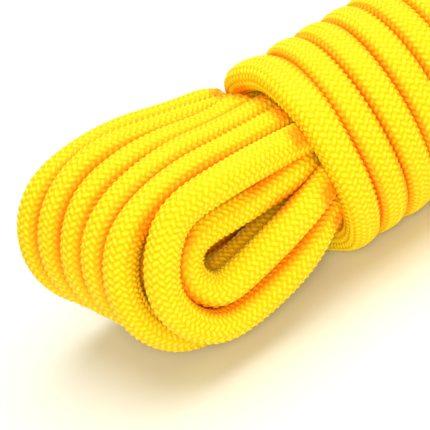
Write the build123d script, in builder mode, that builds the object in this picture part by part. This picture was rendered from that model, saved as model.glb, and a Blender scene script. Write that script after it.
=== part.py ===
from build123d import *
from math import cos, sin, radians, degrees, tan, pi
import os

os.makedirs("parts", exist_ok=True)

# ---------------------------------------------------------------------------
# A length of kernmantle dynamic climbing rope, made up as a wrapped hank.
# Eight long loops lie side by side, a tight helical wrapping of the same rope
# holds them round the middle, and both rope ends come out at the far end.
# Axes: X along the hank (the wraps start at the low X end), Y across the stack
# of loops, Z up. The hank rests on the underside of its wrapping.
# Units: millimetres. Positions are written in rope diameters and scaled.
# ---------------------------------------------------------------------------

# rope
rope_d = 9.8                 # rope diameter, single dynamic rope
sheath_wall = 1.0            # thickness of the braided sheath
core_strand_r = 0.88         # radius of one core strand
core_inner_ring = 1.02       # radius of the ring of 3 inner core strands
core_outer_ring = 2.74       # radius of the ring of 9 outer core strands
tape_inner_r = 3.70          # identification tape, between core and sheath
tape_outer_r = 3.84
sleeve_wall = 0.5            # heat-shrunk end sleeve
sleeve_len = 19.0
tip_len = 2.6                # fused rope tip

# wrapping round the waist (in rope diameters)
wraps = 22                   # turns of the wrapping
wrap_pitch = 0.95            # from one turn to the next, pulled tight
bundle_r = 2.30              # outside radius of the bundle of strands
wrap_r = 3.30                # outside radius of the wrapping at a turn's crown
wrap_valley_r = 3.19         # outside radius between two turns
floor_r = 3.16               # axis height above the surface it lies on
waist_len = wraps * wrap_pitch

# loops at the near end: (y of the loop's plane, tip x, centre z, half height)
near_loops = [
    (-2.55, -6.00, 0.00, 2.54),
    (-1.52, -6.83, -0.16, 2.68),
    (-0.50, -6.96, 0.04, 2.64),
    (0.52, -7.16, 0.12, 2.68),
    (1.53, -7.38, 0.18, 2.74),
    (2.54, -7.60, 0.20, 2.78),
]
# loops at the far end, tips measured from the last wrap
far_loops = [
    (-2.54, 7.10, 0.02, 2.54),
    (-1.52, 7.35, -0.06, 2.58),
    (-0.50, 7.62, 0.05, 2.62),
    (0.52, 7.48, -0.04, 2.58),
    (1.53, 7.74, 0.04, 2.60),
    (2.54, 7.60, -0.46, 2.02),
]
groove_r = 0.40              # rounding of each loop's outer edges
eye_h = 1.10                 # height of the eye through the loops

# centre of the whole hank, so that the origin is under its middle
mid_x = 10.58
mid_y = 0.42

d = rope_d


def at(x, y, z):
    """A point given in rope diameters from the waist axis at the first wrap."""
    return ((x - mid_x) * d, (y - mid_y) * d, (z + floor_r) * d)


def loop_slab(y, tip, cz, half, root, sgn):
    """One loop of the hank as a filled, round-ended slab one rope thick."""
    cx = tip - sgn * half
    x0, _, zlo = at(root, 0, cz - half)
    x1, yy, zhi = at(cx, y, cz + half)
    xt, _, zm = at(tip, 0, cz)
    with BuildPart() as slab:
        with BuildSketch(Plane.XZ.offset(-yy)):
            with BuildLine():
                Polyline((x1, zhi), (x0, zhi), (x0, zlo), (x1, zlo))
                ThreePointArc((x1, zlo), (xt, zm), (x1, zhi))
            make_face()
        extrude(amount=0.5 * d + 0.16, both=True)
        rim = slab.edges().filter_by(
            lambda e: e.length > 1.3 * d
            and abs(e.center().X - x0) > 0.2 * d
            and abs(e.tangent_at(0.5).Y) < 0.1
        )
        fillet(rim, groove_r * d)
    return slab.part


def envelope(root, sgn, reach):
    """Pillow that narrows from the square stack of loops to the round waist."""
    sizes = [
        (0.0, 2 * bundle_r, 2 * bundle_r, bundle_r - 0.02),
        (1.1, 4.95, 4.98, 2.25),
        (2.6, 5.75, 5.65, 1.7),
        (4.4, 6.16, 6.10, 1.0),
        (reach, 6.24, 6.30, 0.8),
    ]
    with BuildPart() as env:
        for step, w, h, r in sizes:
            x, y, z = at(root + sgn * step, 0, 0)
            plane = Plane((x, y, z), x_dir=(0, 1, 0), z_dir=(1, 0, 0))
            with BuildSketch(plane):
                RectangleRounded(w * d, h * d, r * d)
        loft(ruled=True)
    return env.part


def tail_path(points):
    """Corner radii for a rope path: 0.45 of the shorter run at each corner."""
    pts = [Vector(*p) for p in points]
    radii = []
    for a, b, c in zip(pts, pts[1:], pts[2:]):
        turn = (b - a).get_angle(c - b)
        run = min((b - a).length, (c - b).length)
        radii.append(0.45 * run / tan(radians(turn) / 2))
    print("runs/d", [round((b - a).length / d, 2) for a, b in zip(pts, pts[1:])],
          "radii/d", [round(r / d, 2) for r in radii])
    return radii


# --- wrapping: a ribbed sleeve, flattened where it lies --------------------
_, ax_y, ax_z = at(0, 0, 0)
with BuildPart() as wrap_coil:
    with BuildSketch(Plane.XZ.offset(-ax_y)):
        with BuildLine():
            x_in, _, z_in = at(0, 0, bundle_r)
            x_out, _, _ = at(waist_len, 0, 0)
            Line((x_out, z_in), (x_in, z_in))
            Line((x_in, z_in), (x_in, at(0, 0, wrap_valley_r)[2]))
            for k in range(wraps):
                ThreePointArc(
                    (at(k * wrap_pitch, 0, 0)[0], at(0, 0, wrap_valley_r)[2]),
                    (at((k + 0.5) * wrap_pitch, 0, 0)[0], at(0, 0, wrap_r)[2]),
                    (at((k + 1) * wrap_pitch, 0, 0)[0], at(0, 0, wrap_valley_r)[2]),
                )
            Line((x_out, at(0, 0, wrap_valley_r)[2]), (x_out, z_in))
        make_face()
    revolve(axis=Axis((0, ax_y, ax_z), (1, 0, 0)), revolution_arc=360)
    with BuildSketch(Plane.XY.offset(-2 * d)):
        with Locations((0.5 * (x_in + x_out), ax_y)):
            Rectangle((waist_len + 4) * d, 8 * d)
    extrude(amount=2 * d, mode=Mode.SUBTRACT)
wrap_coil.part.label = "wrap_coil"

# --- the straight strands inside the wrapping ------------------------------
with BuildPart() as waist_bundle:
    x, y, z = at(0, 0, 0)
    with BuildSketch(Plane((x, y, z), x_dir=(0, 1, 0), z_dir=(1, 0, 0))):
        Circle(bundle_r * d)
    extrude(amount=waist_len * d)
waist_bundle.part.label = "waist_bundle"

# --- near loops ------------------------------------------------------------
near_slabs = [loop_slab(y, t, c, h, 0.0, -1) for y, t, c, h in near_loops]
near_env = envelope(0.0, -1, 8.8)
with BuildPart() as near_bights:
    for s in near_slabs:
        add(s)
    add(near_env, mode=Mode.INTERSECT)
    # the eye inside the front pair of loops, one rope deep
    ex0, ey, ez = at(-4.00, -3.2, 0.05)
    ex1, _, _ = at(-1.0, 0, 0.2)
    with BuildSketch(Plane.XZ.offset(-ey)):
        with BuildLine():
            h = 0.5 * 0.95 * d
            Polyline((ex0 + h, ez + h), (ex1, ez + 0.25 * d), (ex1 + 1.5, ez + 0.15 * d),
                     (ex1, ez + 0.05 * d), (ex0 + h, ez - h))
            ThreePointArc((ex0 + h, ez - h), (ex0, ez), (ex0 + h, ez + h))
        make_face()
    extrude(amount=-1.35 * d, mode=Mode.SUBTRACT)
near_bights.part.label = "near_bights"

# --- rope ends -------------------------------------------------------------
# Free end that starts the winding: leaves the waist on top at the back and
# lies in the place of the strand it would be.
start_pts = [at(waist_len + a, b, c) for a, b, c in [
    (0.0, 1.40, 1.08),
    (1.5, 1.40, 1.08),
    (4.25, 2.40, 1.90),
    (7.6, 2.56, 2.04),
]]
# Free end that finishes the wrapping: goes through the eye of the far loops
# and lies along the back of the hank.
work_pts = [at(waist_len + a, b, c) for a, b, c in [
    (0.0, -2.74, -0.62),
    (1.15, -2.74, -0.62),
    (2.35, -3.42, -0.42),
    (3.55, -3.75, -0.14),
    (4.60, -2.95, 0.0),
    (4.45, -1.50, 0.02),
    (4.12, 0.10, 0.0),
    (4.05, 1.95, -0.02),
    (3.95, 3.55, -0.22),
    (3.35, 4.35, -1.05),
    (2.35, 4.55, -1.95),
    (1.10, 4.35, -2.50),
    (-0.60, 4.00, -2.66),
    (-2.90, 3.92, -2.66),
    (-6.00, 4.05, -2.615),
    (-9.20, 4.02, -2.605),
]]
start_radii = tail_path(start_pts)
work_radii = tail_path(work_pts)


# centre lines of the two free ends
start_line = FilletPolyline(*start_pts, radius=start_radii)
work_line = FilletPolyline(*work_pts, radius=work_radii)
start_plane = Plane(start_line @ 0, z_dir=start_line % 0)
work_plane = Plane(work_line @ 0, z_dir=work_line % 0)
start_end = Plane(start_line @ 1, z_dir=start_line % 1)
work_end = Plane(work_line @ 1, z_dir=work_line % 1)

for name, line, pl in (("start", start_line, start_plane), ("working", work_line, work_plane)):
    print(name, "tail length", round(line.length, 1))

with BuildPart() as start_tail_sheath:
    with BuildSketch(start_plane):
        Circle(rope_d / 2)
        Circle(rope_d / 2 - sheath_wall, mode=Mode.SUBTRACT)
    sweep(path=start_line)
start_tail_sheath.part.label = "start_tail_sheath"

with BuildPart() as working_tail_sheath:
    with BuildSketch(work_plane):
        Circle(rope_d / 2)
        Circle(rope_d / 2 - sheath_wall, mode=Mode.SUBTRACT)
    sweep(path=work_line)
working_tail_sheath.part.label = "working_tail_sheath"

with BuildPart() as start_tail_core:
    with BuildSketch(start_plane):
        with PolarLocations(core_inner_ring, 3):
            Circle(core_strand_r)
        with PolarLocations(core_outer_ring, 9, start_angle=20):
            Circle(core_strand_r)
    sweep(path=start_line)
start_tail_core.part.label = "start_tail_core"

with BuildPart() as working_tail_core:
    with BuildSketch(work_plane):
        with PolarLocations(core_inner_ring, 3):
            Circle(core_strand_r)
        with PolarLocations(core_outer_ring, 9, start_angle=20):
            Circle(core_strand_r)
    sweep(path=work_line)
working_tail_core.part.label = "working_tail_core"

# identification tape under the sheath, one length in each free end
with BuildPart() as marker_tape:
    for pl, line in ((start_plane, start_line), (work_plane, work_line)):
        with BuildSketch(pl):
            with BuildLine():
                a = radians(22)
                Line((tape_inner_r * cos(a), tape_inner_r * sin(a)), (tape_outer_r * cos(a), tape_outer_r * sin(a)))
                ThreePointArc((tape_outer_r * cos(a), tape_outer_r * sin(a)), (tape_outer_r, 0),
                              (tape_outer_r * cos(a), -tape_outer_r * sin(a)))
                Line((tape_outer_r * cos(a), -tape_outer_r * sin(a)), (tape_inner_r * cos(a), -tape_inner_r * sin(a)))
                ThreePointArc((tape_inner_r * cos(a), -tape_inner_r * sin(a)), (tape_inner_r, 0),
                              (tape_inner_r * cos(a), tape_inner_r * sin(a)))
            make_face()
        sweep(path=line)
marker_tape.part.label = "marker_tape"

# heat-shrunk sleeves over the last stretch of each end
with BuildPart() as start_end_sleeve:
    with BuildSketch(start_end):
        Circle(rope_d / 2 + sleeve_wall)
        Circle(rope_d / 2, mode=Mode.SUBTRACT)
    extrude(amount=-sleeve_len)
start_end_sleeve.part.label = "start_end_sleeve"

with BuildPart() as working_end_sleeve:
    with BuildSketch(work_end):
        Circle(rope_d / 2 + sleeve_wall)
        Circle(rope_d / 2, mode=Mode.SUBTRACT)
    extrude(amount=-sleeve_len)
working_end_sleeve.part.label = "working_end_sleeve"

# fused tips: the melted ends of sheath and core, slightly domed
with BuildPart() as start_fused_tip:
    with BuildSketch(start_end):
        Circle(rope_d / 2)
    extrude(amount=tip_len)
    fillet(start_fused_tip.edges().filter_by(GeomType.CIRCLE).sort_by_distance(start_end.origin + start_end.z_dir * 2 * tip_len)[0], 1.6)
start_fused_tip.part.label = "start_fused_tip"

with BuildPart() as working_fused_tip:
    with BuildSketch(work_end):
        Circle(rope_d / 2)
    extrude(amount=tip_len)
    fillet(working_fused_tip.edges().filter_by(GeomType.CIRCLE).sort_by_distance(work_end.origin + work_end.z_dir * 2 * tip_len)[0], 1.6)
working_fused_tip.part.label = "working_fused_tip"

# --- far loops, with the eye and room for the two free ends ----------------
far_slabs = [loop_slab(y, waist_len + t, c, h, waist_len, 1) for y, t, c, h in far_loops]
far_env = envelope(waist_len, 1, 8.8)
with BuildPart() as far_bights:
    for s in far_slabs:
        add(s)
    add(far_env, mode=Mode.INTERSECT)
    # eye, right through the stack of loops
    fx, fy, fz = at(waist_len + 4.0, -4.0, 0.0)
    with BuildSketch(Plane.XZ.offset(-fy)):
        with Locations((fx, fz)):
            SlotOverall(2.6 * d, eye_h * d)
    extrude(amount=-8 * d, mode=Mode.SUBTRACT)
    # groove for the starting end
    with BuildSketch(start_plane):
        Circle(rope_d / 2 + sleeve_wall + 0.25)
    sweep(path=start_line, mode=Mode.SUBTRACT)
    with BuildSketch(start_end):
        Circle(rope_d / 2 + sleeve_wall + 0.25)
    extrude(amount=2 * d, mode=Mode.SUBTRACT)
    # room for the finishing end beside and through the loops
    with BuildSketch(work_plane):
        Circle(rope_d / 2 + 0.2)
    sweep(path=work_line, mode=Mode.SUBTRACT)
far_bights.part.label = "far_bights"

for piece in (near_bights, far_bights, waist_bundle, wrap_coil,
              start_tail_sheath, start_tail_core, start_end_sleeve, start_fused_tip,
              working_tail_sheath, working_tail_core, working_end_sleeve, working_fused_tip,
              marker_tape):
    part = piece.part
    export_step(part, "parts/" + part.label + ".step")
    b = part.bounding_box()
    print(part.label, len(part.solids()), round(part.volume), 
          [round(v, 1) for v in (b.min.X, b.max.X, b.min.Y, b.max.Y, b.min.Z, b.max.Z)], part.is_valid)
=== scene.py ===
import math
import bpy
import numpy as np
from mathutils import Matrix, Vector
from mathutils.kdtree import KDTree


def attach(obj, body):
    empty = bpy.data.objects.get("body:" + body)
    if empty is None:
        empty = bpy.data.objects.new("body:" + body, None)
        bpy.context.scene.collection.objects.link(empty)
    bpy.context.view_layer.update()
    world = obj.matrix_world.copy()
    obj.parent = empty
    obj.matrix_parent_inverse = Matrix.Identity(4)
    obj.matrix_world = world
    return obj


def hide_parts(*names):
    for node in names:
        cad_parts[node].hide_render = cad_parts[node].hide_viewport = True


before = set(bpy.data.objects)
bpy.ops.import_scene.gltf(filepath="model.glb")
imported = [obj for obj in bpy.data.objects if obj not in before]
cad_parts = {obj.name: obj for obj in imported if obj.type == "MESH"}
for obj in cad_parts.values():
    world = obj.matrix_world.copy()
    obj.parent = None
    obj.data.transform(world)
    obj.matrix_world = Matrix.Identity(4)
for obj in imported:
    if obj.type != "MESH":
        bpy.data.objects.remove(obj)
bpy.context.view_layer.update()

D = 0.0098                      # rope diameter, metres
MID = (10.58, 0.42, -3.16)      # CAD origin, in rope diameters from the waist axis at the first wrap
WAIST = 20.9                    # length of the wrapping, in rope diameters

rng = np.random.default_rng(11)


def row(x, y, z):
    """Rope diameters from the waist axis to metres in the CAD frame."""
    return Vector(((x - MID[0]) * D, (y - MID[1]) * D, (z - MID[2]) * D))


# ---------------------------------------------------------------------------
# camera
# ---------------------------------------------------------------------------
def camera():
    lf = 0.28
    phi, beta = math.radians(32.0), math.radians(32.0)
    li = math.sqrt(1 - lf * lf)
    c, s = math.cos(phi), math.sin(phi)
    along = np.array([li * c, li * s, lf])
    n = np.array([-s, c, 0.0])
    m = np.array([-lf * c, -lf * s, li])
    across = math.cos(beta) * m + math.sin(beta) * n
    up = -math.sin(beta) * m + math.cos(beta) * n
    a = np.stack([along, across, up], axis=1)   # rows: right, up, forward
    r, u, f = Vector(a[0]), Vector(a[1]), Vector(a[2])
    loc = row(0.0, 0.0, 0.0) - (r * 2.0232 + u * 1.458 + f * 48.0) * D
    cam_data = bpy.data.cameras.new("camera")
    cam_data.lens = 36.0 * 34.5 * 48.0 / 430.0
    cam_data.sensor_width = 36.0
    cam_data.clip_start = 0.01
    cam_data.clip_end = 50.0
    cam = bpy.data.objects.new("camera", cam_data)
    rot = Matrix((r, u, -f)).transposed().to_4x4()
    cam.matrix_world = Matrix.Translation(loc) @ rot
    bpy.context.scene.collection.objects.link(cam)
    bpy.context.scene.camera = cam
    return cam


cam = camera()

# ---------------------------------------------------------------------------
# the rope's route: one spline from the starting end to the finishing end
# ---------------------------------------------------------------------------
ROUTE_MM = [
    (175.6, 20.9, 51.0), (166.3, 20.7, 50.9), (147.7, 20.3, 50.5), (129.6, 17.5, 46.6),
    (113.0, 13.9, 39.0), (92.4, 11.7, 35.8), (69.6, 11.9, 36.0), (47.2, 11.9, 35.9),
    (24.6, 11.9, 35.9), (2.1, 11.9, 36.0), (-20.5, 11.9, 35.9), (-42.9, 11.9, 36.0),
    (-65.7, 12.1, 35.9), (-87.2, 12.9, 36.1), (-102.2, 14.6, 34.3), (-103.5, 22.2, 40.3),
    (-106.3, 25.8, 44.4), (-119.3, 22.8, 47.8), (-140.5, 20.6, 54.4), (-160.5, 20.5, 53.3),
    (-170.1, 20.7, 46.3), (-173.9, 20.7, 35.4), (-172.1, 20.6, 24.3), (-164.9, 20.5, 14.2),
    (-149.1, 20.8, 10.4), (-126.7, 18.4, 12.6), (-106.4, 9.6, 17.2), (-83.6, 9.6, 19.2),
    (-61.2, 8.5, 19.0), (-38.6, 8.6, 19.2), (-16.2, 8.5, 19.0), (6.4, 8.5, 19.1),
    (28.9, 8.6, 19.0), (51.5, 8.5, 19.1), (73.9, 8.8, 18.9), (96.8, 8.0, 19.7),
    (116.8, 15.1, 11.8), (138.6, 20.4, 7.2), (157.5, 20.2, 7.9), (167.3, 18.6, 15.9),
    (171.6, 16.6, 26.7), (169.7, 14.4, 38.4), (162.0, 11.3, 48.0), (144.1, 10.0, 53.1),
    (121.1, 10.2, 51.3), (99.8, 7.4, 44.1), (77.4, 6.8, 43.1), (54.8, 7.1, 43.4),
    (32.3, 7.0, 43.3), (9.8, 7.0, 43.4), (-12.7, 7.1, 43.4), (-35.4, 6.9, 43.4),
    (-57.6, 7.4, 43.4), (-80.9, 6.8, 43.3), (-97.1, 10.2, 43.3), (-107.7, 17.0, 44.9),
    (-127.1, 11.7, 51.9), (-148.4, 11.1, 56.6), (-162.5, 10.6, 51.7), (-169.9, 11.1, 42.1),
    (-171.7, 10.8, 30.6), (-167.5, 11.0, 19.6), (-158.1, 10.6, 12.2), (-140.4, 11.1, 10.6),
    (-120.3, 6.0, 19.8), (-99.1, 0.9, 25.0), (-76.3, 0.6, 24.5), (-53.9, 0.7, 24.8),
    (-31.3, 0.7, 24.7), (-8.8, 0.7, 24.7), (13.8, 0.7, 24.7), (36.3, 0.6, 24.7),
    (58.8, 0.7, 24.6), (81.3, 0.6, 25.0), (103.9, 1.1, 23.4), (124.0, 9.5, 16.3),
    (145.1, 10.9, 9.6), (160.4, 10.1, 12.7), (168.2, 8.1, 20.9), (170.9, 5.7, 31.7),
    (167.9, 3.4, 42.1), (159.8, 1.2, 50.3), (145.2, 0.4, 51.8), (124.0, 1.8, 45.7),
    (103.0, 2.4, 37.3), (81.1, 3.1, 32.8), (58.4, 2.9, 34.0), (35.9, 3.0, 33.6),
    (13.4, 3.0, 33.8), (-9.1, 3.0, 33.7), (-31.7, 3.0, 33.7), (-54.1, 3.1, 33.8),
    (-77.0, 3.3, 33.6), (-95.3, 3.3, 33.6), (-101.6, 4.5, 41.1), (-105.3, 7.7, 48.1),
    (-117.4, 4.4, 48.8), (-138.3, 1.6, 54.7), (-156.6, 1.1, 53.1), (-165.7, 0.9, 44.7),
    (-169.7, 1.0, 33.8), (-167.4, 0.9, 22.8), (-159.7, 1.2, 13.3), (-142.0, 0.5, 10.2),
    (-119.1, 0.7, 10.8), (-97.3, 2.1, 15.5), (-74.5, 0.9, 14.6), (-52.1, 0.9, 15.0),
    (-29.5, 0.7, 14.8), (-7.0, 0.7, 14.9), (15.5, 0.8, 14.8), (38.0, 0.7, 14.9),
    (60.5, 0.9, 14.5), (83.2, 0.5, 15.6), (105.3, 1.8, 12.5), (127.6, 0.7, 10.0),
    (149.9, 0.9, 10.6), (163.7, -0.4, 15.0), (169.3, -2.8, 25.2), (169.6, -5.2, 35.5),
    (164.5, -7.5, 45.6), (152.1, -9.5, 51.1), (130.5, -8.2, 51.3), (108.6, -2.3, 49.2),
    (86.3, -0.8, 47.0), (63.7, -1.0, 47.6), (41.2, -0.9, 47.4), (18.7, -1.0, 47.5),
    (-3.9, -0.9, 47.4), (-26.4, -1.0, 47.4), (-49.0, -0.8, 47.3), (-71.4, -1.0, 47.6),
    (-94.2, 0.4, 46.6), (-115.8, -4.2, 49.3), (-137.8, -8.2, 54.5), (-156.6, -8.6, 51.0),
    (-165.1, -8.5, 42.7), (-167.7, -8.8, 31.6), (-164.8, -9.2, 20.7), (-155.8, -8.8, 11.8),
    (-137.0, -9.3, 9.4), (-114.2, -8.6, 12.2), (-92.2, -7.0, 15.0), (-69.5, -8.2, 14.3),
    (-47.0, -8.0, 14.5), (-24.5, -8.1, 14.5), (-2.0, -8.1, 14.5), (20.6, -8.1, 14.4),
    (43.1, -8.1, 14.5), (65.6, -8.1, 14.2), (88.2, -8.1, 14.9), (110.5, -7.8, 12.4),
    (133.1, -9.1, 10.6), (154.4, -9.0, 10.3), (166.3, -10.9, 16.8), (171.0, -13.2, 26.9),
    (170.2, -15.5, 37.5), (164.2, -17.7, 47.2), (149.9, -19.2, 51.8), (127.7, -17.5, 50.5),
    (105.9, -11.6, 48.2), (83.6, -9.5, 46.6), (61.0, -10.0, 47.1), (38.5, -9.8, 46.9),
    (16.0, -9.9, 47.0), (-6.6, -9.8, 46.9), (-29.1, -9.9, 47.0), (-51.7, -9.7, 46.7),
    (-74.0, -9.9, 47.3), (-96.9, -8.7, 46.0), (-118.1, -14.4, 50.0), (-140.3, -18.1, 53.7),
    (-157.3, -18.1, 48.9), (-164.5, -18.3, 39.4), (-166.4, -18.9, 27.6), (-162.4, -19.1, 16.6),
    (-152.9, -18.9, 8.8), (-134.0, -19.1, 7.9), (-112.0, -17.8, 14.6), (-90.3, -15.2, 18.3),
    (-67.5, -16.6, 17.6), (-45.1, -16.1, 18.0), (-22.5, -16.4, 17.7), (0.0, -16.3, 17.8),
    (22.6, -16.3, 17.8), (45.1, -16.2, 18.0), (67.6, -16.3, 17.5), (90.3, -16.1, 18.6),
    (112.2, -17.4, 14.1), (134.7, -18.8, 11.3), (156.1, -19.0, 10.3), (168.3, -20.8, 16.4),
    (173.3, -23.0, 26.4), (172.9, -25.4, 36.8), (167.2, -27.7, 46.5), (154.1, -28.9, 51.5),
    (132.2, -28.0, 50.1), (110.8, -22.2, 45.0), (89.4, -16.7, 41.4), (66.6, -17.5, 42.3),
    (44.2, -17.2, 42.0), (21.6, -17.3, 42.1), (-0.9, -17.3, 42.1), (-23.4, -17.4, 42.1),
    (-46.0, -17.2, 42.0), (-68.5, -17.6, 42.4), (-91.1, -16.2, 41.5), (-111.2, -21.7, 47.1),
    (-131.9, -28.6, 52.2), (-147.2, -27.8, 51.0), (-155.4, -28.8, 42.5), (-159.0, -29.3, 32.3),
    (-157.0, -29.3, 22.5), (-150.4, -29.2, 14.5), (-140.0, -28.9, 12.5), (-118.7, -29.7, 18.0),
    (-102.6, -21.9, 23.5), (-85.6, -20.5, 25.6), (-62.3, -21.2, 25.3), (-40.1, -21.0, 25.4),
    (-17.5, -21.1, 25.3), (5.0, -21.0, 25.4), (27.5, -21.0, 25.3), (50.1, -21.0, 25.4),
    (72.5, -20.9, 25.2), (95.4, -21.3, 25.8), (115.7, -26.9, 17.5), (137.4, -28.7, 10.8),
    (153.7, -28.9, 11.6), (160.9, -29.1, 18.4), (163.6, -29.6, 26.5), (161.5, -30.7, 34.6),
    (154.0, -29.9, 41.1), (136.8, -28.3, 40.6), (115.8, -20.2, 37.0), (95.3, -11.8, 33.0),
    (72.4, -12.0, 32.9), (50.0, -11.9, 33.0), (27.4, -12.0, 33.0), (4.9, -11.9, 33.0),
    (-17.6, -12.0, 33.0), (-40.2, -11.9, 32.9), (-62.6, -12.1, 33.2), (-85.3, -11.3, 32.3),
    (-99.5, -13.2, 34.6), (-107.3, -22.0, 38.7), (-127.9, -23.1, 38.8), (-143.8, -24.1, 40.1),
    (-149.4, -25.3, 34.7), (-149.5, -26.4, 28.3), (-144.3, -28.1, 22.6), (-134.4, -28.9, 24.5),
    (-114.0, -29.5, 30.8), (-96.1, -21.8, 33.1), (-77.2, -21.1, 34.7), (-53.9, -21.5, 34.1),
    (-31.7, -21.3, 34.3), (-9.0, -21.3, 34.2), (13.5, -21.4, 34.2), (36.0, -21.2, 34.2),
    (58.5, -21.7, 34.2), (81.2, -20.6, 34.4), (103.2, -24.3, 33.5), (124.4, -26.7, 24.4),
    (142.5, -29.3, 20.3), (151.9, -27.8, 22.8), (155.2, -24.7, 28.6), (154.9, -21.8, 34.5),
    (149.9, -19.0, 40.9), (135.2, -18.1, 41.2), (114.5, -9.2, 40.3), (92.5, -4.7, 38.8),
    (69.8, -4.8, 38.8), (47.3, -4.8, 38.8), (24.8, -4.8, 38.8), (2.3, -4.8, 38.8),
    (-20.2, -4.8, 38.8), (-42.8, -4.7, 38.8), (-65.3, -4.7, 38.6), (-87.9, -4.2, 38.6),
    (-110.2, -6.4, 38.7), (-131.8, -13.3, 42.8), (-147.9, -13.7, 42.2), (-154.4, -13.8, 36.0),
    (-155.9, -13.7, 28.9), (-153.0, -13.6, 21.6), (-143.8, -14.4, 17.6), (-124.5, -12.9, 19.8),
    (-102.1, -8.7, 23.6), (-79.7, -8.5, 23.9), (-57.1, -8.5, 23.7), (-34.6, -8.5, 23.8),
    (-12.1, -8.5, 23.7), (10.4, -8.5, 23.8), (33.0, -8.5, 23.7), (55.5, -8.5, 23.6),
    (78.0, -8.4, 23.8), (100.5, -9.0, 23.5), (122.5, -15.3, 22.3), (142.4, -19.2, 20.4),
    (152.9, -17.0, 22.3), (156.9, -14.0, 28.2), (156.4, -11.9, 34.6), (151.4, -9.5, 40.1),
    (139.5, -8.1, 41.8), (121.4, -2.1, 35.2), (103.2, 10.7, 28.0), (81.2, 13.0, 26.8),
    (58.6, 12.2, 27.1), (36.1, 12.6, 27.0), (13.6, 12.4, 27.1), (-8.9, 12.5, 27.0),
    (-31.5, 12.5, 27.1), (-53.9, 12.4, 27.1), (-76.7, 13.3, 27.0), (-97.8, 13.5, 26.5),
    (-108.6, 15.8, 25.6), (-111.5, 20.9, 20.3), (-111.7, 22.1, 14.0), (-111.2, 18.0, 6.9),
    (-107.9, 6.7, 4.8), (-97.9, -8.9, 4.5), (-96.7, -21.2, 8.5), (-97.4, -29.0, 18.1),
    (-98.1, -32.1, 29.7), (-98.7, -29.7, 41.6), (-98.3, -22.9, 51.7), (-97.6, -11.7, 56.8),
    (-97.0, 0.1, 57.5), (-99.1, 11.7, 53.9), (-98.0, 21.0, 46.7), (-95.6, 24.8, 35.2),
    (-94.2, 24.2, 23.4), (-92.2, 18.4, 12.7), (-90.6, 8.3, 6.2), (-89.1, -3.6, 4.6),
    (-87.7, -15.5, 5.9), (-87.3, -25.5, 12.8), (-87.9, -31.0, 23.7), (-88.9, -31.3, 35.8),
    (-89.0, -26.4, 46.9), (-88.3, -17.1, 54.8), (-87.3, -5.4, 57.9), (-86.7, 6.6, 55.8),
    (-85.7, 16.6, 49.1), (-84.6, 22.9, 38.7), (-83.4, 24.0, 26.7), (-82.3, 19.6, 15.4),
    (-81.2, 10.5, 7.3), (-79.7, -1.2, 4.7), (-78.6, -13.2, 5.2), (-78.0, -23.9, 11.1),
    (-78.2, -30.4, 21.5), (-79.1, -31.7, 33.5), (-79.4, -27.7, 45.0), (-79.0, -19.2, 53.6),
    (-78.1, -7.8, 57.7), (-77.3, 4.3, 56.5), (-76.5, 14.8, 50.4), (-75.4, 21.7, 40.4),
    (-74.2, 23.5, 28.5), (-73.1, 20.0, 16.9), (-72.1, 11.6, 8.0), (-70.9, -0.0, 4.8),
    (-69.8, -12.0, 5.0), (-69.2, -23.0, 10.2), (-69.0, -29.9, 20.3), (-69.6, -31.8, 32.3),
    (-69.8, -28.4, 43.9), (-69.5, -20.2, 52.9), (-68.6, -9.0, 57.5), (-67.9, 3.1, 56.8),
    (-67.2, 13.8, 51.0), (-66.3, 21.0, 41.3), (-65.3, 23.2, 29.4), (-64.4, 20.1, 17.7),
    (-63.5, 12.0, 8.5), (-62.6, 0.5, 4.8), (-61.8, -11.6, 4.9), (-61.1, -22.6, 9.8),
    (-60.7, -29.7, 19.8), (-60.5, -31.9, 31.8), (-60.3, -28.6, 43.5), (-59.9, -20.6, 52.6),
    (-59.2, -9.4, 57.4), (-58.6, 2.7, 56.9), (-58.0, 13.4, 51.3), (-57.2, 20.7, 41.6),
    (-56.4, 23.1, 29.7), (-55.6, 20.0, 18.0), (-54.8, 12.1, 8.6), (-54.0, 0.6, 4.8),
    (-53.2, -11.4, 4.9), (-52.6, -22.5, 9.8), (-52.1, -29.7, 19.7), (-51.7, -31.8, 31.6),
    (-51.2, -28.7, 43.4), (-50.7, -20.7, 52.5), (-50.0, -9.6, 57.4), (-49.4, 2.6, 56.9),
    (-48.8, 13.3, 51.3), (-48.0, 20.6, 41.6), (-47.3, 22.9, 29.7), (-46.5, 20.0, 18.0),
    (-45.8, 12.1, 8.6), (-45.1, 0.6, 4.8), (-44.4, -11.5, 4.9), (-43.7, -22.6, 9.9),
    (-43.1, -29.7, 19.8), (-42.6, -31.8, 31.7), (-42.0, -28.6, 43.4), (-41.4, -20.6, 52.6),
    (-40.8, -9.5, 57.4), (-40.2, 2.6, 56.9), (-39.5, 13.4, 51.2), (-38.8, 20.6, 41.5),
    (-38.1, 22.9, 29.6), (-37.4, 19.9, 17.9), (-36.7, 11.9, 8.6), (-36.0, 0.4, 4.8),
    (-35.3, -11.7, 4.9), (-34.6, -22.7, 10.0), (-34.0, -29.8, 20.0), (-33.4, -31.8, 31.9),
    (-32.8, -28.5, 43.6), (-32.2, -20.5, 52.7), (-31.5, -9.3, 57.4), (-30.9, 2.8, 56.9),
    (-30.2, 13.5, 51.1), (-29.5, 20.7, 41.3), (-28.8, 22.9, 29.4), (-28.2, 19.7, 17.7),
    (-27.5, 11.7, 8.4), (-26.8, 0.2, 4.8), (-26.1, -11.9, 5.0), (-25.4, -22.9, 10.1),
    (-24.8, -29.9, 20.2), (-24.1, -31.8, 32.1), (-23.5, -28.4, 43.8), (-22.9, -20.3, 52.8),
    (-22.2, -9.1, 57.5), (-21.6, 3.0, 56.8), (-20.9, 13.7, 51.0), (-20.2, 20.7, 41.1),
    (-19.5, 22.8, 29.1), (-18.9, 19.6, 17.5), (-18.2, 11.5, 8.3), (-17.5, -0.1, 4.7),
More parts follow.
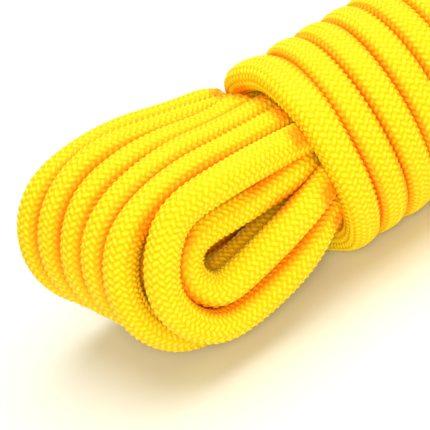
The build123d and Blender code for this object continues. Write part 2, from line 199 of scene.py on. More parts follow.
    (-16.8, -12.1, 5.0), (-16.2, -23.1, 10.3), (-15.5, -29.9, 20.4), (-14.9, -31.8, 32.3),
    (-14.2, -28.3, 44.0), (-13.6, -20.1, 52.9), (-12.9, -8.9, 57.5), (-12.2, 3.2, 56.7),
    (-11.6, 13.8, 50.8), (-10.9, 20.8, 40.9), (-10.2, 22.8, 28.9), (-9.6, 19.5, 17.2),
    (-8.9, 11.3, 8.2), (-8.2, -0.3, 4.7), (-7.5, -12.4, 5.1), (-6.9, -23.3, 10.4),
    (-6.2, -30.0, 20.6), (-5.5, -31.8, 32.6), (-4.9, -28.2, 44.2), (-4.2, -19.9, 53.1),
    (-3.6, -8.6, 57.5), (-2.9, 3.5, 56.7), (-2.3, 14.0, 50.6), (-1.6, 20.9, 40.7),
    (-0.9, 22.8, 28.7), (-0.3, 19.4, 17.0), (0.4, 11.1, 8.1), (1.1, -0.6, 4.7),
    (1.8, -12.6, 5.1), (2.4, -23.5, 10.6), (3.1, -30.1, 20.9), (3.8, -31.8, 32.8),
    (4.4, -28.1, 44.4), (5.1, -19.7, 53.2), (5.7, -8.4, 57.6), (6.4, 3.7, 56.6),
    (7.1, 14.2, 50.5), (7.7, 21.0, 40.4), (8.4, 22.8, 28.4), (9.1, 19.3, 16.8),
    (9.7, 10.9, 7.9), (10.4, -0.8, 4.7), (11.1, -12.9, 5.2), (11.8, -23.7, 10.8),
    (12.4, -30.2, 21.1), (13.1, -31.8, 33.1), (13.7, -27.9, 44.6), (14.4, -19.5, 53.4),
    (15.1, -8.1, 57.6), (15.7, 4.0, 56.5), (16.4, 14.4, 50.3), (17.1, 21.1, 40.2),
    (17.7, 22.7, 28.2), (18.4, 19.1, 16.6), (19.1, 10.6, 7.8), (19.7, -1.1, 4.7),
    (20.4, -13.1, 5.2), (21.1, -23.8, 11.0), (21.7, -30.3, 21.3), (22.4, -31.7, 33.4),
    (23.1, -27.8, 44.9), (23.7, -19.3, 53.5), (24.4, -7.9, 57.6), (25.1, 4.2, 56.4),
    (25.7, 14.6, 50.1), (26.4, 21.2, 39.9), (27.0, 22.7, 27.9), (27.7, 19.0, 16.3),
    (28.4, 10.4, 7.7), (29.1, -1.3, 4.6), (29.7, -13.4, 5.3), (30.4, -24.0, 11.2),
    (31.1, -30.4, 21.6), (31.7, -31.7, 33.6), (32.4, -27.7, 45.1), (33.1, -19.1, 53.6),
    (33.7, -7.6, 57.7), (34.4, 4.4, 56.4), (35.0, 14.7, 49.9), (35.7, 21.3, 39.7),
    (36.4, 22.7, 27.7), (37.0, 18.9, 16.1), (37.7, 10.2, 7.6), (38.4, -1.6, 4.6),
    (39.0, -13.6, 5.3), (39.7, -24.2, 11.4), (40.4, -30.5, 21.8), (41.1, -31.7, 33.9),
    (41.7, -27.5, 45.3), (42.4, -18.9, 53.8), (43.1, -7.4, 57.7), (43.7, 4.7, 56.3),
    (44.4, 14.9, 49.7), (45.0, 21.4, 39.4), (45.7, 22.7, 27.4), (46.4, 18.8, 15.9),
    (47.0, 9.9, 7.4), (47.7, -1.8, 4.6), (48.4, -13.9, 5.4), (49.1, -24.4, 11.5),
    (49.7, -30.5, 22.1), (50.4, -31.6, 34.1), (51.1, -27.4, 45.5), (51.7, -18.6, 53.9),
    (52.4, -7.1, 57.7), (53.0, 4.9, 56.2), (53.7, 15.1, 49.6), (54.4, 21.4, 39.2),
    (55.0, 22.6, 27.1), (55.7, 18.6, 15.7), (56.4, 9.7, 7.3), (57.1, -2.1, 4.6),
    (57.7, -14.1, 5.4), (58.4, -24.6, 11.7), (59.1, -30.6, 22.3), (59.8, -31.6, 34.4),
    (60.4, -27.2, 45.7), (61.1, -18.4, 54.1), (61.7, -6.9, 57.8), (62.4, 5.2, 56.1),
    (63.1, 15.3, 49.4), (63.7, 21.5, 39.0), (64.4, 22.6, 26.9), (65.0, 18.5, 15.5),
    (65.7, 9.5, 7.2), (66.4, -2.3, 4.6), (67.1, -14.3, 5.5), (67.8, -24.7, 11.9),
    (68.5, -30.7, 22.5), (69.1, -31.6, 34.6), (69.8, -27.2, 45.9), (70.5, -18.3, 54.2),
    (71.1, -6.7, 57.8), (71.8, 5.3, 56.1), (72.4, 15.4, 49.3), (73.1, 21.6, 38.9),
    (73.8, 22.6, 26.8), (74.4, 18.5, 15.4), (75.1, 9.5, 7.1), (75.8, -2.4, 4.5),
    (76.4, -14.4, 5.5), (77.2, -24.8, 11.9), (77.9, -30.7, 22.6), (78.5, -31.6, 34.7),
    (79.2, -27.1, 45.9), (79.9, -18.2, 54.2), (80.5, -6.6, 57.8), (81.2, 5.4, 56.0),
    (81.9, 15.4, 49.2), (82.5, 21.6, 38.7), (83.2, 22.6, 26.7), (83.9, 18.4, 15.3),
    (84.5, 9.3, 7.1), (85.2, -2.5, 4.5), (85.8, -14.5, 5.6), (86.7, -24.8, 12.0),
    (87.5, -30.8, 22.6), (88.1, -31.6, 34.7), (88.8, -27.1, 46.0), (89.5, -18.2, 54.2),
    (90.1, -6.6, 57.8), (90.8, 5.4, 56.0), (91.4, 15.5, 49.2), (92.1, 21.7, 38.7),
    (92.8, 22.5, 26.7), (93.4, 18.4, 15.2), (94.2, 9.3, 7.1), (94.7, -2.5, 4.5),
    (95.6, -14.5, 5.6), (95.7, -25.0, 11.7), (100.8, -33.0, 20.2), (116.1, -38.0, 25.8),
    (131.4, -41.7, 29.1), (141.6, -38.0, 30.7), (145.6, -27.7, 31.2), (142.5, -11.5, 31.0),
    (141.1, 7.3, 31.0), (141.1, 24.9, 30.1), (137.0, 35.9, 24.4), (128.4, 40.0, 14.9),
    (113.2, 38.8, 6.7), (94.6, 35.2, 5.1), (76.1, 34.3, 5.0), (57.5, 34.7, 5.1),
    (38.9, 35.2, 5.2), (20.3, 35.3, 5.4), (11.0, 35.3, 5.4),
]


def route_points():
    cu = bpy.data.curves.new("rope_route", "CURVE")
    cu.dimensions = "3D"
    sp = cu.splines.new("NURBS")
    sp.points.add(len(ROUTE_MM) - 1)
    for p, q in zip(sp.points, ROUTE_MM):
        p.co = (q[0] / 1000, q[1] / 1000, q[2] / 1000, 1.0)
    sp.order_u = 3
    sp.use_endpoint_u = True
    sp.resolution_u = 10
    cu.resolution_u = 10
    ob = bpy.data.objects.new("rope_route", cu)
    bpy.context.scene.collection.objects.link(ob)
    dep = bpy.context.evaluated_depsgraph_get()
    me = bpy.data.meshes.new_from_object(ob.evaluated_get(dep))
    pts = np.empty(len(me.vertices) * 3)
    me.vertices.foreach_get("co", pts)
    pts = pts.reshape(-1, 3)
    bpy.data.meshes.remove(me)
    bpy.data.objects.remove(ob)
    bpy.data.curves.remove(cu)
    keep = np.r_[True, np.linalg.norm(np.diff(pts, axis=0), axis=1) > 1e-6]
    return pts[keep]


LINE = route_points()
SEG = np.linalg.norm(np.diff(LINE, axis=0), axis=1)
ARC = np.r_[0.0, np.cumsum(SEG)]
TOTAL = ARC[-1]
TAN = np.gradient(LINE, ARC, axis=0)
TAN /= np.linalg.norm(TAN, axis=1)[:, None]


def along(s):
    """Position and direction of the route at arc lengths s."""
    p = np.stack([np.interp(s, ARC, LINE[:, k]) for k in range(3)], 1)
    t = np.stack([np.interp(s, ARC, TAN[:, k]) for k in range(3)], 1)
    t /= np.linalg.norm(t, axis=1)[:, None]
    return p, t


def frames(t):
    """Two cross vectors for each direction, carried along without twisting."""
    n = np.empty_like(t)
    v = np.cross(t[0], (0.0, 0.0, 1.0))
    v /= np.linalg.norm(v)
    n[0] = v
    for i in range(1, len(t)):
        v = v - t[i] * (v @ t[i])
        v /= math.sqrt(v @ v)
        n[i] = v
    return n, np.cross(t, n)


def grid_mesh(name, pts, caps=(False, False), uv=None, attr=None, smooth=True):
    """A tube mesh from rings of points, pts[ring, column, 3]."""
    rings, cols = pts.shape[:2]
    nv = rings * cols
    me = bpy.data.meshes.new(name)
    i = np.arange(rings - 1)[:, None] * cols
    j = np.arange(cols)[None, :]
    k = (np.arange(cols)[None, :] + 1) % cols
    quads = np.stack([i + j, i + k, i + cols + k, i + cols + j], -1).reshape(-1, 4)
    extra = []
    co = pts.reshape(-1, 3)
    a = np.arange(cols)
    b = (a + 1) % cols
    if caps[0]:
        extra.append(np.stack([b, a, np.full(cols, len(co))], -1))
        co = np.vstack([co, pts[0].mean(0)])
    if caps[1]:
        last = (rings - 1) * cols
        extra.append(np.stack([last + a, last + b, np.full(cols, len(co))], -1))
        co = np.vstack([co, pts[-1].mean(0)])
    tri = np.concatenate(extra) if len(extra) else np.empty((0, 3), int)
    me.vertices.add(len(co))
    me.vertices.foreach_set("co", co.astype(np.float32).ravel())
    loops = np.r_[quads.ravel(), tri.ravel()].astype(np.int32)
    me.loops.add(len(loops))
    me.loops.foreach_set("vertex_index", loops)
    me.polygons.add(len(quads) + len(tri))
    starts = np.r_[np.arange(len(quads)) * 4, len(quads) * 4 + np.arange(len(tri)) * 3].astype(np.int32)
    me.polygons.foreach_set("loop_start", starts)
    me.polygons.foreach_set("use_smooth", np.full(len(starts), smooth))
    if uv is not None:
        layer = me.uv_layers.new(name="yarn")
        u0 = uv[0]
        v0 = uv[1]
        ui = np.arange(cols)
        qi = np.broadcast_to(np.arange(rings - 1)[:, None], (rings - 1, cols)).ravel()
        qj = np.broadcast_to(ui[None, :], (rings - 1, cols)).ravel()
        quv = np.empty((len(quads), 4, 2), np.float32)
        quv[:, 0, 0] = u0[qj]
        quv[:, 1, 0] = u0[qj + 1]
        quv[:, 2, 0] = u0[qj + 1]
        quv[:, 3, 0] = u0[qj]
        quv[:, 0, 1] = v0[qi]
        quv[:, 1, 1] = v0[qi]
        quv[:, 2, 1] = v0[qi + 1]
        quv[:, 3, 1] = v0[qi + 1]
        flat = np.zeros((len(loops), 2), np.float32)
        flat[: len(quads) * 4] = quv.reshape(-1, 2)
        layer.data.foreach_set("uv", flat.ravel())
    if attr is not None:
        for aname, vals in attr.items():
            at = me.attributes.new(aname, "FLOAT", "POINT")
            v = np.zeros(len(co), np.float32)
            v[:nv] = vals.reshape(-1)
            at.data.foreach_set("value", v)
    me.update(calc_edges=True)
    me.validate()
    ob = bpy.data.objects.new(name, me)
    bpy.context.scene.collection.objects.link(ob)
    return ob


# ---------------------------------------------------------------------------
# the braided sheath from end to end, in lengths that meet where the cut is out of sight
# ---------------------------------------------------------------------------
CARRIERS = 32                   # yarns in the sheath, half of them each way round
HALF = CARRIERS // 2
COLS = 5 * HALF
PITCH = 3.00 * D                # length in which a yarn goes once round
FINE = PITCH / (4 * HALF)


LEAN = 0.20  # the floats bulge and lie more across the rope than the yarns do


def braid(theta, s):
    """Height of the braid, 0 between yarns to 1 on a stitch, and which stitch it is."""
    a = (theta / (2 * np.pi) - s / PITCH) * HALF
    b = (theta / (2 * np.pi) + s / PITCH) * HALF
    i = np.round(a)
    j = np.round(b)
    m = i + j
    ph = np.mod(m, 4)
    first = ph < 2
    across = np.where(first, a - i, b - j)
    centre = np.where(first, np.floor(m / 4) * 4 + 0.5, np.floor(m / 4) * 4 + 2.5)
    lengthwise = np.where(first, (b + i) - centre, (a + j) - centre)
    across = across - LEAN * lengthwise
    return np.clip(1 - (2.1 * across) ** 2 - (lengthwise / 1.00) ** 2, 0, 1) ** 0.7


def ring_stations():
    """Arc lengths of the rings: fine where the rope shows, coarse inside the wrapping."""
    x = LINE[:, 0] / D + MID[0]
    y = LINE[:, 1] / D + MID[1]
    z = LINE[:, 2] / D + MID[2]
    hidden = (x > 0.9) & (x < WAIST - 0.9) & (np.hypot(y, z) < 2.35)
    s = 0.0
    out = [0.0]
    flag = [0.0]
    edges = np.flatnonzero(np.diff(hidden.astype(int))) + 1
    marks = np.r_[0, edges, len(ARC) - 1]
    for a, b in zip(marks[:-1], marks[1:]):
        s0, s1 = ARC[a], ARC[b]
        step = 0.45 * D if hidden[a] else FINE
        n = max(1, int(round((s1 - s0) / step)))
        st = s0 + (s1 - s0) * np.arange(1, n + 1) / n
        out.extend(st)
        flag.extend([1.0 if hidden[a] else 0.0] * n)
    return np.array(out), np.array(flag)


def contacts(centres, s):
    """For each ring, the half-way planes to the strands that touch it."""
    step = 0.12 * D
    n = int(TOTAL / step)
    sj = np.linspace(0, TOTAL, n + 1)
    cj, _ = along(sj)
    tree = KDTree(len(cj))
    for k, c in enumerate(cj):
        tree.insert(c, k)
    tree.balance()
    found = []
    for k in range(0, len(centres)):
        c = centres[k]
        near = [(sj[q], q, dist) for _, q, dist in tree.find_range(c, 1.45 * D) if abs(sj[q] - s[k]) > 1.6 * D]
        if not near:
            continue
        near.sort()
        group = [near[0]]
        groups = []
        for e in near[1:]:
            if e[0] - group[-1][0] > 1.0 * D:
                groups.append(group)
                group = []
            group.append(e)
        groups.append(group)
        for g in groups:
            best = min(g, key=lambda e: e[2])
            found.append((k, best[1], best[2]))
    return found, cj


def rope_mesh():
    s, hid = ring_stations()
    p, t = along(s)
    n, b = frames(t)
    theta = np.arange(COLS) * 2 * np.pi / COLS
    drift = 0.0
    hgt = braid(theta[None, :], s[:, None])
    hgt = np.where(hid[:, None] > 0.5, 0.6, hgt)
    rad = D * (0.456 + 0.052 * hgt)
    ct, sn = np.cos(theta), np.sin(theta)
    way = ct[None, :, None] * n[:, None, :] + sn[None, :, None] * b[:, None, :]
    # the turns of the wrapping are pulled tight and lie flatter than the loops
    yy, zz = p[:, 1] / D + MID[1], p[:, 2] / D + MID[2]
    xx = p[:, 0] / D + MID[0]
    rr = np.hypot(yy, zz)
    tight = np.clip((rr - 2.3) / 0.3, 0, 1) * (xx > -0.75) * (xx < WAIST + 0.5) * (hid < 0.5)
    tight *= np.clip((s / TOTAL - 0.55) / 0.02, 0, 1)
    outward = (way[:, :, 1] * yy[:, None] + way[:, :, 2] * zz[:, None]) / np.maximum(rr, 0.5)[:, None]
    side = np.sqrt(np.clip(1 - outward ** 2, 0, 1))
    flat = np.where(outward > 0, 0.88, 0.94)
    k = (side ** 2.7 + (np.abs(outward) / flat) ** 2.7) ** (-1 / 2.7)
    rad = rad * (1 + (k - 1) * tight[:, None])
    off = rad[:, :, None] * way
    # strands press flat on each other, and the same loop records the painted shade: how deep each vertex sits in the
    # gap to a touching strand
    found, cj = contacts(p, s)
    painted_shade = np.zeros_like(hgt)
    for k, q, dist in found:
        d = cj[q] - p[k]
        d = d - t[k] * (d @ t[k]) * 0.7
        ln = math.sqrt(d @ d)
        if ln < 0.3 * D:
            continue
        d = d / ln
        shade_depth = np.clip((way[k] @ d - 0.30) / 0.60, 0, 1) * min(1.0, max(0.0, (1.46 - dist / D) / 0.32))
        np.maximum(painted_shade[k], shade_depth, out=painted_shade[k])
        lim = max(0.5 * dist, 0.41 * D) - 0.004 * D
        h = off[k] @ d
        over = h - lim
        m = over > 0
        if m.any():
            off[k][m] -= (over[m] * 0.97)[:, None] * d[None, :]
    # painted bounce light: the doubled loop inside the front one gets its light from its yellow neighbours, so
    # inside this box it is given the painted shade tint at 0.70 all over
    inner = (xx < 0.2) & (xx > -5.6) & (yy > -1.45) & (yy < -0.6) & (np.abs(zz) < 1.5)
    painted_shade[inner] = np.maximum(painted_shade[inner], 0.70)
    pts = p[:, None, :] + off
    # the first turn is pulled a little flat and wide over the strands
    xx, yy, zz = p[:, 0] / D + MID[0], p[:, 1] / D + MID[1], p[:, 2] / D + MID[2]
    ang = np.degrees(np.arctan2(zz, -yy))
    w = np.exp(-((ang - 75) / 38.0) ** 2) * (np.hypot(yy, zz) > 2.35) * (xx < 0.93) * (xx > -0.6) * (s > 0.5 * TOTAL) * (hid < 0.5)
    pts[:, :, 0] += 0.13 * w[:, None] * (off[:, :, 0])
    # and on the floor
    low = pts[:, :, 2]
    pts[:, :, 2] = np.where(low < 0.00008, 0.00008 + 0.03 * (low - 0.00008), low)
    pts[:, :, 2] = np.maximum(pts[:, :, 2], 0.00002)
    u = np.arange(COLS + 1) / COLS
    v = s / PITCH
    # cut into lengths where the cut is out of sight: inside the wrapping, or
    # where a turn of it rests on the ground
    x = p[:, 0] / D + MID[0]
    y = p[:, 1] / D + MID[1]
    z = p[:, 2] / D + MID[2]
    turns = (np.hypot(y, z) > 2.35) & (x > 0.3) & (x < WAIST - 0.3)
    ok = (hid > 0.5) & (np.abs(x - WAIST / 2) < 6)
    ok |= turns & (z < -2.5) & (np.abs(y) < 0.35)
    cuts = [0]
    last_ok = None
    for k in range(1, len(s)):
        if (k - cuts[-1]) * COLS * 2 > 196000 and last_ok is not None and last_ok > cuts[-1]:
            cuts.append(last_ok)
            last_ok = None
        if ok[k]:
            last_ok = k
    cuts.append(len(s) - 1)
    obs = []
    for q, (a, e) in enumerate(zip(cuts[:-1], cuts[1:])):
        # each length carries the braid height and the painted crevice shade as attributes
        obs.append(grid_mesh("rope_sheath_%02d" % (q + 1), pts[a:e + 1], caps=(a == 0, e == len(s) - 1), uv=(u, v[a:e + 1]), attr={"braid": hgt[a:e + 1], "painted_crevice_shade": painted_shade[a:e + 1]}))
    return obs, s, p, t, n, b


SHEATHS, RS, RP, RT, RN, RB = rope_mesh()


# ---------------------------------------------------------------------------
# materials
# ---------------------------------------------------------------------------
class Nodes:
    def __init__(self, name):
        self.mat = bpy.data.materials.new(name)
        self.mat.use_nodes = True
        self.t = self.mat.node_tree
        self.bsdf = self.t.nodes["Principled BSDF"]
        self.out = self.t.nodes["Material Output"]

    def add(self, kind, **props):
        nd = self.t.nodes.new(kind)
        for k, v in props.items():
            setattr(nd, k, v)
        return nd

    def link(self, a, b):
        self.t.links.new(a, b)

    def math(self, op, a, b=None, clamp=False):
        nd = self.add("ShaderNodeMath", operation=op, use_clamp=clamp)
        for i, v in enumerate((a, b)):
            if v is None:
                continue
            if isinstance(v, (int, float)):
                nd.inputs[i].default_value = v
            else:
                self.link(v, nd.inputs[i])
        return nd.outputs[0]

    def ramp(self, fac, stops):
        nd = self.add("ShaderNodeValToRGB")
        el = nd.color_ramp.elements
        while len(el) < len(stops):
            el.new(0.5)
        for e, (pos, col) in zip(el, stops):
            e.position = pos
            e.color = (*col, 1.0)
        self.link(fac, nd.inputs[0])
        return nd.outputs[0]


def sheath_material():
    m = Nodes("yellow_braid")
    b = m.bsdf
    attr = m.add("ShaderNodeAttribute", attribute_name="braid")
    h = attr.outputs["Fac"]
    uv = m.add("ShaderNodeUVMap", uv_map="yarn")
    sep = m.add("ShaderNodeSeparateXYZ")
    m.link(uv.outputs[0], sep.inputs[0])
    u, v = sep.outputs[0], sep.outputs[1]
    # which of the two families of yarn is on top, worked out as in the mesh
    a = m.math("MULTIPLY", m.math("SUBTRACT", u, v), float(HALF))
    bb = m.math("MULTIPLY", m.math("ADD", u, v), float(HALF))
    i = m.math("ROUND", a)
    j = m.math("ROUND", bb)
    ph = m.math("MODULO", m.math("ADD", m.math("ADD", i, j), 40.0), 4.0)
    first = m.math("LESS_THAN", ph, 1.5)
    across = m.add("ShaderNodeMix", data_type="FLOAT")
    m.link(first, across.inputs["Factor"])
    m.link(m.math("SUBTRACT", bb, j), across.inputs["A"])
    m.link(m.math("SUBTRACT", a, i), across.inputs["B"])
    ac = across.outputs[0]
    # height of the stitch under this point
    turn = m.math("ADD", m.math("ADD", i, j), 40.0)
    base4 = m.math("SUBTRACT", turn, ph)
    run = m.add("ShaderNodeMix", data_type="FLOAT")
    m.link(first, run.inputs["Factor"])
    m.link(m.math("SUBTRACT", m.math("ADD", m.math("ADD", a, j), 40.0), m.math("ADD", base4, 2.5)), run.inputs["A"])
    m.link(m.math("SUBTRACT", m.math("ADD", m.math("ADD", bb, i), 40.0), m.math("ADD", base4, 0.5)), run.inputs["B"])
    lw = m.math("DIVIDE", run.outputs[0], 1.00)
    wide = m.math("MULTIPLY", m.math("SUBTRACT", ac, m.math("MULTIPLY", run.outputs[0], LEAN)), 2.1)
    oval = m.math("ADD", m.math("MULTIPLY", wide, wide), m.math("MULTIPLY", lw, lw))
    hs = m.math("POWER", m.math("SUBTRACT", 1.0, oval, clamp=True), 0.85)
    # filaments: fine lines that run along each yarn, a little wandering
    coord = m.add("ShaderNodeTexCoord")
    wob = m.add("ShaderNodeTexNoise")
    wob.inputs["Scale"].default_value = 900.0
    wob.inputs["Detail"].default_value = 3.0
    m.link(coord.outputs["Object"], wob.inputs["Vector"])
    fil = m.math("SINE", m.math("ADD", m.math("MULTIPLY", ac, 48.0), m.math("MULTIPLY", wob.outputs["Fac"], 9.0)))
    # colour of each yarn differs slightly
    yarn = m.add("ShaderNodeTexWhiteNoise", noise_dimensions="2D")
    comb = m.add("ShaderNodeCombineXYZ")
    m.link(i, comb.inputs[0])
    m.link(j, comb.inputs[1])
    m.link(comb.outputs[0], yarn.inputs["Vector"])
    cloud = m.add("ShaderNodeTexNoise")
    cloud.inputs["Scale"].default_value = 60.0
    cloud.inputs["Detail"].default_value = 2.0
    m.link(coord.outputs["Object"], cloud.inputs["Vector"])
    # painted highlight and shade: the colour is paler yellow on each stitch's crown and deeper orange in the valleys
    # between yarns, following the stitch height hs and the braid attribute; the yarn-to-yarn and cloudy tone changes
    # are the yarn's own
    fac = m.math("ADD", m.math("ADD", m.math("MULTIPLY", hs, 0.72), m.math("MULTIPLY", h, 0.12)),
                 m.math("ADD", m.math("MULTIPLY", yarn.outputs["Value"], 0.12),
                        m.math("ADD", m.math("MULTIPLY", fil, 0.03), m.math("MULTIPLY", m.math("SUBTRACT", cloud.outputs["Fac"], 0.5), 0.18))))
    col = m.ramp(fac, [(0.0, (0.97, 0.54, 0.002)), (0.30, (0.98, 0.65, 0.004)), (0.65, (0.98, 0.755, 0.009)), (1.0, (0.99, 0.88, 0.050))])
    # painted shade: the colour goes deeper orange-red where two strands meet, standing in for the shade and bounced
    # light in the gap
    painted_shade_attr = m.add("ShaderNodeAttribute", attribute_name="painted_crevice_shade")
    painted_shade_mix = m.add("ShaderNodeMix", data_type="RGBA")
    m.link(m.math("MULTIPLY", m.math("POWER", painted_shade_attr.outputs["Fac"], 2.4), 0.75), painted_shade_mix.inputs["Factor"])
    m.link(col, painted_shade_mix.inputs["A"])
    painted_shade_mix.inputs["B"].default_value = (0.95, 0.21, 0.001, 1.0)
    m.link(painted_shade_mix.outputs["Result"], b.inputs["Base Color"])
    rough = m.math("ADD", m.math("MULTIPLY", fil, 0.05), 0.50)
    m.link(rough, b.inputs["Roughness"])
    b.inputs["Specular IOR Level"].default_value = 0.32
    b.inputs["Specular Tint"].default_value = (1.0, 0.85, 0.30, 1.0)
    b.inputs["Sheen Weight"].default_value = 0.12
    b.inputs["Sheen Roughness"].default_value = 0.45
    b.inputs["Sheen Tint"].default_value = (1.0, 0.78, 0.06, 1.0)
    bump = m.add("ShaderNodeBump")
    bump.inputs["Strength"].default_value = 0.7
    bump.inputs["Distance"].default_value = 0.00030
    m.link(m.math("ADD", hs, m.math("MULTIPLY", fil, 0.04)), bump.inputs["Height"])
    m.link(bump.outputs[0], b.inputs["Normal"])
    return m.mat


SHEATH = sheath_material()
for o in SHEATHS:
    o.data.materials.append(SHEATH)


def simple_noise_material(name, base, dark, scale, rough, bump, sheen=0.0):
    m = Nodes(name)
    coord = m.add("ShaderNodeTexCoord")
    nz = m.add("ShaderNodeTexNoise")
    nz.inputs["Scale"].default_value = scale
    nz.inputs["Detail"].default_value = 6.0
    m.link(coord.outputs["Object"], nz.inputs["Vector"])
    col = m.ramp(nz.outputs["Fac"], [(0.3, dark), (0.7, base)])
    m.link(col, m.bsdf.inputs["Base Color"])
    rg = m.math("ADD", m.math("MULTIPLY", nz.outputs["Fac"], 0.2), rough - 0.1)
    m.link(rg, m.bsdf.inputs["Roughness"])
    bp = m.add("ShaderNodeBump")
    bp.inputs["Strength"].default_value = bump
    bp.inputs["Distance"].default_value = 0.0001
    m.link(nz.outputs["Fac"], bp.inputs["Height"])
    m.link(bp.outputs[0], m.bsdf.inputs["Normal"])
    m.bsdf.inputs["Sheen Weight"].default_value = sheen
    return m.mat


CORE = simple_noise_material("white_core_yarn", (0.86, 0.85, 0.80), (0.70, 0.69, 0.63), 2500.0, 0.75, 0.4, 0.2)
SLEEVE = simple_noise_material("shrink_sleeve", (0.040, 0.040, 0.043), (0.018, 0.018, 0.020), 900.0, 0.42, 0.25)
TIP = simple_noise_material("fused_nylon", (0.62, 0.33, 0.03), (0.35, 0.14, 0.01), 500.0, 0.22, 0.5)
TAPE = simple_noise_material("marker_film", (0.80, 0.82, 0.84), (0.68, 0.70, 0.73), 300.0, 0.30, 0.1)


# ---------------------------------------------------------------------------
# what is in and on the two ends
# ---------------------------------------------------------------------------
def sub_path(s0, s1, step):
    """Rings between two arc lengths, with the sheath's own cross vectors."""
    n = max(2, int(round(abs(s1 - s0) / step)))
    s = np.linspace(s0, s1, n + 1)
    p, t = along(s)
    idx = np.clip(np.searchsorted(RS, s), 0, len(RS) - 1)
    nn = RN[idx]
    nn = nn - t * np.sum(nn * t, axis=1)[:, None]
    nn /= np.linalg.norm(nn, axis=1)[:, None]
    return s, p, t, nn, np.cross(t, nn)


def join(name, obs):
    me = bpy.data.meshes.new(name)
    import bmesh
    bm = bmesh.new()
    for o in obs:
        bm.from_mesh(o.data)
    bm.to_mesh(me)
    bm.free()
    for o in obs:
        old = o.data
        bpy.data.objects.remove(o)
        bpy.data.meshes.remove(old)
    for poly in me.polygons:
        poly.use_smooth = True
    ob = bpy.data.objects.new(name, me)
    bpy.context.scene.collection.objects.link(ob)
    return ob


def core(name):
    """The core, end to end: nine twisted strands round three, packed into one bundle."""
    s, p, t, n, b = sub_path(0.0004, TOTAL - 0.0004, 0.38 * D)
    th = np.arange(36) * 2 * np.pi / 36
    r = D * (0.335 + 0.036 * np.abs(np.cos(4.5 * th)) ** 0.5)
    turn = th[None, :] + (2 * np.pi * s / 0.060)[:, None]
    pts = p[:, None, :] + r[None, :, None] * (np.cos(turn)[:, :, None] * n[:, None, :] + np.sin(turn)[:, :, None] * b[:, None, :])
    ob = grid_mesh(name, pts, caps=(True, True))
    ob.data.materials.append(CORE)
    return ob


def tape(name, spans):
    """A thin film between core and sheath."""
    obs = []
    for s0, s1 in spans:
        s, p, t, n, b = sub_path(s0, s1, 0.0015)
        prof = []
        for a in np.linspace(-0.38, 0.38, 9):
            prof.append((0.00384 * math.cos(a), 0.00384 * math.sin(a)))
        for a in np.linspace(0.38, -0.38, 9):
            prof.append((0.00374 * math.cos(a), 0.00374 * math.sin(a)))
        prof = np.array(prof)
        pts = p[:, None, :] + prof[None, :, 0, None] * n[:, None, :] + prof[None, :, 1, None] * b[:, None, :]
        obs.append(grid_mesh("film", pts, caps=(True, True)))
    ob = join(name, obs)
    ob.data.materials.append(TAPE)
    return ob


def sleeve(name, s_tip, sgn):
    """Shrunk tube over the end: it follows the braid under it and rolls in at its rims."""
    length = 0.019
    s0, s1 = s_tip, s_tip + sgn * length
    s, p, t, n, b = sub_path(s0, s1, 0.00022)
    th = np.arange(96) * 2 * np.pi / 96
    q = np.abs(s - s0)
    bulge = braid(th[None, :], s[:, None])
    # soften the braid that shows through
    for _ in range(3):
        bulge = 0.5 * bulge + 0.25 * (np.roll(bulge, 1, 1) + np.roll(bulge, -1, 1))
        bulge[1:-1] = 0.5 * bulge[1:-1] + 0.25 * (bulge[2:] + bulge[:-2])
    edge = np.minimum(q, length - q)
    rim = np.sqrt(np.clip(1 - (1 - np.clip(edge / 0.0005, 0, 1)) ** 2, 0, 1))
    r = 0.5 * D + 0.0001 + 0.00036 * rim[:, None] + 0.00007 * bulge
    r = r + 0.00005 * np.sin(3 * th[None, :] + 900 * q[:, None]) * rim[:, None]
    outer = p[:, None, :] + r[:, :, None] * (np.cos(th)[None, :, None] * n[:, None, :] + np.sin(th)[None, :, None] * b[:, None, :])
    ri = np.full_like(r, 0.5 * D - 0.0003)
    inner = p[:, None, :] + ri[:, :, None] * (np.cos(th)[None, :, None] * n[:, None, :] + np.sin(th)[None, :, None] * b[:, None, :])
    ring = np.concatenate([inner[:1], outer, inner[-1:]])
    if sgn < 0:
        ring = ring[::-1]
    ob = grid_mesh(name, ring)
    low = np.empty(len(ob.data.vertices) * 3, np.float32)
    ob.data.vertices.foreach_get("co", low)
    low = low.reshape(-1, 3)
    low[:, 2] = np.maximum(low[:, 2], 0.00001)
    ob.data.vertices.foreach_set("co", low.ravel())
    ob.data.materials.append(SLEEVE)
    return ob


def tip(name, s_tip, sgn):
    """Melted end of sheath and core, a slightly domed bead."""
    p, t = along(np.array([s_tip]))
    p, t = p[0], -sgn * t[0]
    i = int(np.clip(np.searchsorted(RS, s_tip), 0, len(RS) - 1))
    n = RN[i]
    b = np.cross(t, n)
    th = np.arange(96) * 2 * np.pi / 96
    prof = []
    for k in range(31):
        f = k / 30
        if f < 0.25:
            prof.append((-0.0006 + 0.0018 * f / 0.25, 0.5 * D - 0.00025))
        else:
            a = (f - 0.25) / 0.75 * math.pi / 2
            prof.append((0.0012 + 0.0013 * math.sin(a), (0.5 * D - 0.0002) * math.cos(a) ** 0.62 if a < 1.5 else 0.00001))
    prof = np.array(prof)
    wob = np.zeros((len(prof), len(th)))
    for f, am, ph in ((3, 1.0, 0.4), (5, 0.7, 2.0), (8, 0.5, 4.1), (13, 0.35, 0.9)):
        wob += am * np.sin(f * th[None, :] + ph + 2.5 * np.arange(len(prof))[:, None] / len(prof))
    r = prof[:, 1][:, None] * (1 + 0.008 * wob)
    x = prof[:, 0][:, None] + 0.00006 * wob * (prof[:, 1][:, None] / (0.5 * D))
    pts = p[None, None, :] + x[:, :, None] * t[None, None, :] + r[:, :, None] * (np.cos(th)[None, :, None] * n + np.sin(th)[None, :, None] * b)
    ob = grid_mesh(name, pts, caps=(True, True))
    ob.data.materials.append(TIP)
    return ob


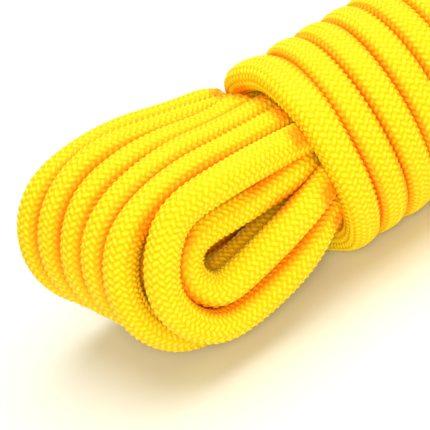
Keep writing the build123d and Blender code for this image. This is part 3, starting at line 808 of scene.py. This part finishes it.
TAIL_A = 7.8 * D
TAIL_B = 25.0 * D
rope = core("rope_core")
pieces = {
    "rope_tape": tape("rope_tape", ((0.001, TAIL_A - 0.001), (TOTAL - TAIL_B + 0.001, TOTAL - 0.001))),
    "rope_sleeve_start": sleeve("rope_sleeve_start", 0.0, 1),
    "rope_sleeve_finish": sleeve("rope_sleeve_finish", TOTAL, -1),
    "rope_tip_start": tip("rope_tip_start", 0.0, 1),
    "rope_tip_finish": tip("rope_tip_finish", TOTAL, -1),
}

for o in [rope] + SHEATHS + list(pieces.values()):
    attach(o, "root")
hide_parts("start_tail_core", "working_tail_core")
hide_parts("start_tail_sheath", "waist_bundle")
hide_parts("near_bights")
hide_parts("far_bights")
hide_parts("wrap_coil")
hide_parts("working_tail_sheath")
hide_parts("marker_tape")
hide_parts("start_end_sleeve")
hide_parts("working_end_sleeve")
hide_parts("start_fused_tip")
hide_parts("working_fused_tip")

# ---------------------------------------------------------------------------
# floor and light
# ---------------------------------------------------------------------------
def floor():
    me = bpy.data.meshes.new("floor")
    me.from_pydata([(-4, -4, 0), (4, -4, 0), (4, 4, 0), (-4, 4, 0)], [], [(0, 1, 2, 3)])
    ob = bpy.data.objects.new("floor", me)
    bpy.context.scene.collection.objects.link(ob)
    m = Nodes("floor_white")
    m.bsdf.inputs["Base Color"].default_value = (0.88, 0.87, 0.84, 1)
    m.bsdf.inputs["Roughness"].default_value = 0.6
    m.bsdf.inputs["Specular IOR Level"].default_value = 0.2
    me.materials.append(m.mat)


def area(name, loc, target, size, power, color=(1, 1, 1)):
    ld = bpy.data.lights.new(name, "AREA")
    ld.shape = "DISK"
    ld.size = size
    ld.energy = power
    ld.color = color
    ob = bpy.data.objects.new(name, ld)
    ob.location = loc
    ob.rotation_euler = (Vector(target) - Vector(loc)).to_track_quat("-Z", "Y").to_euler()
    bpy.context.scene.collection.objects.link(ob)


floor()
area("key", (0.25, 0.10, 1.15), (0, 0, 0.03), 1.5, 17.0, (0.98, 1.0, 1.0))
area("fill", (-0.42, -0.82, 0.54), (-0.05, 0, 0.03), 0.35, 6.2, (1.0, 0.94, 0.66))
world = bpy.data.worlds.new("studio")
world.use_nodes = True
world.node_tree.nodes["Background"].inputs[0].default_value = (1.0, 0.985, 0.80, 1)
world.node_tree.nodes["Background"].inputs[1].default_value = 0.38
bpy.context.scene.world = world
bpy.context.scene.view_settings.view_transform = "Standard"
bpy.context.scene.view_settings.look = "None"
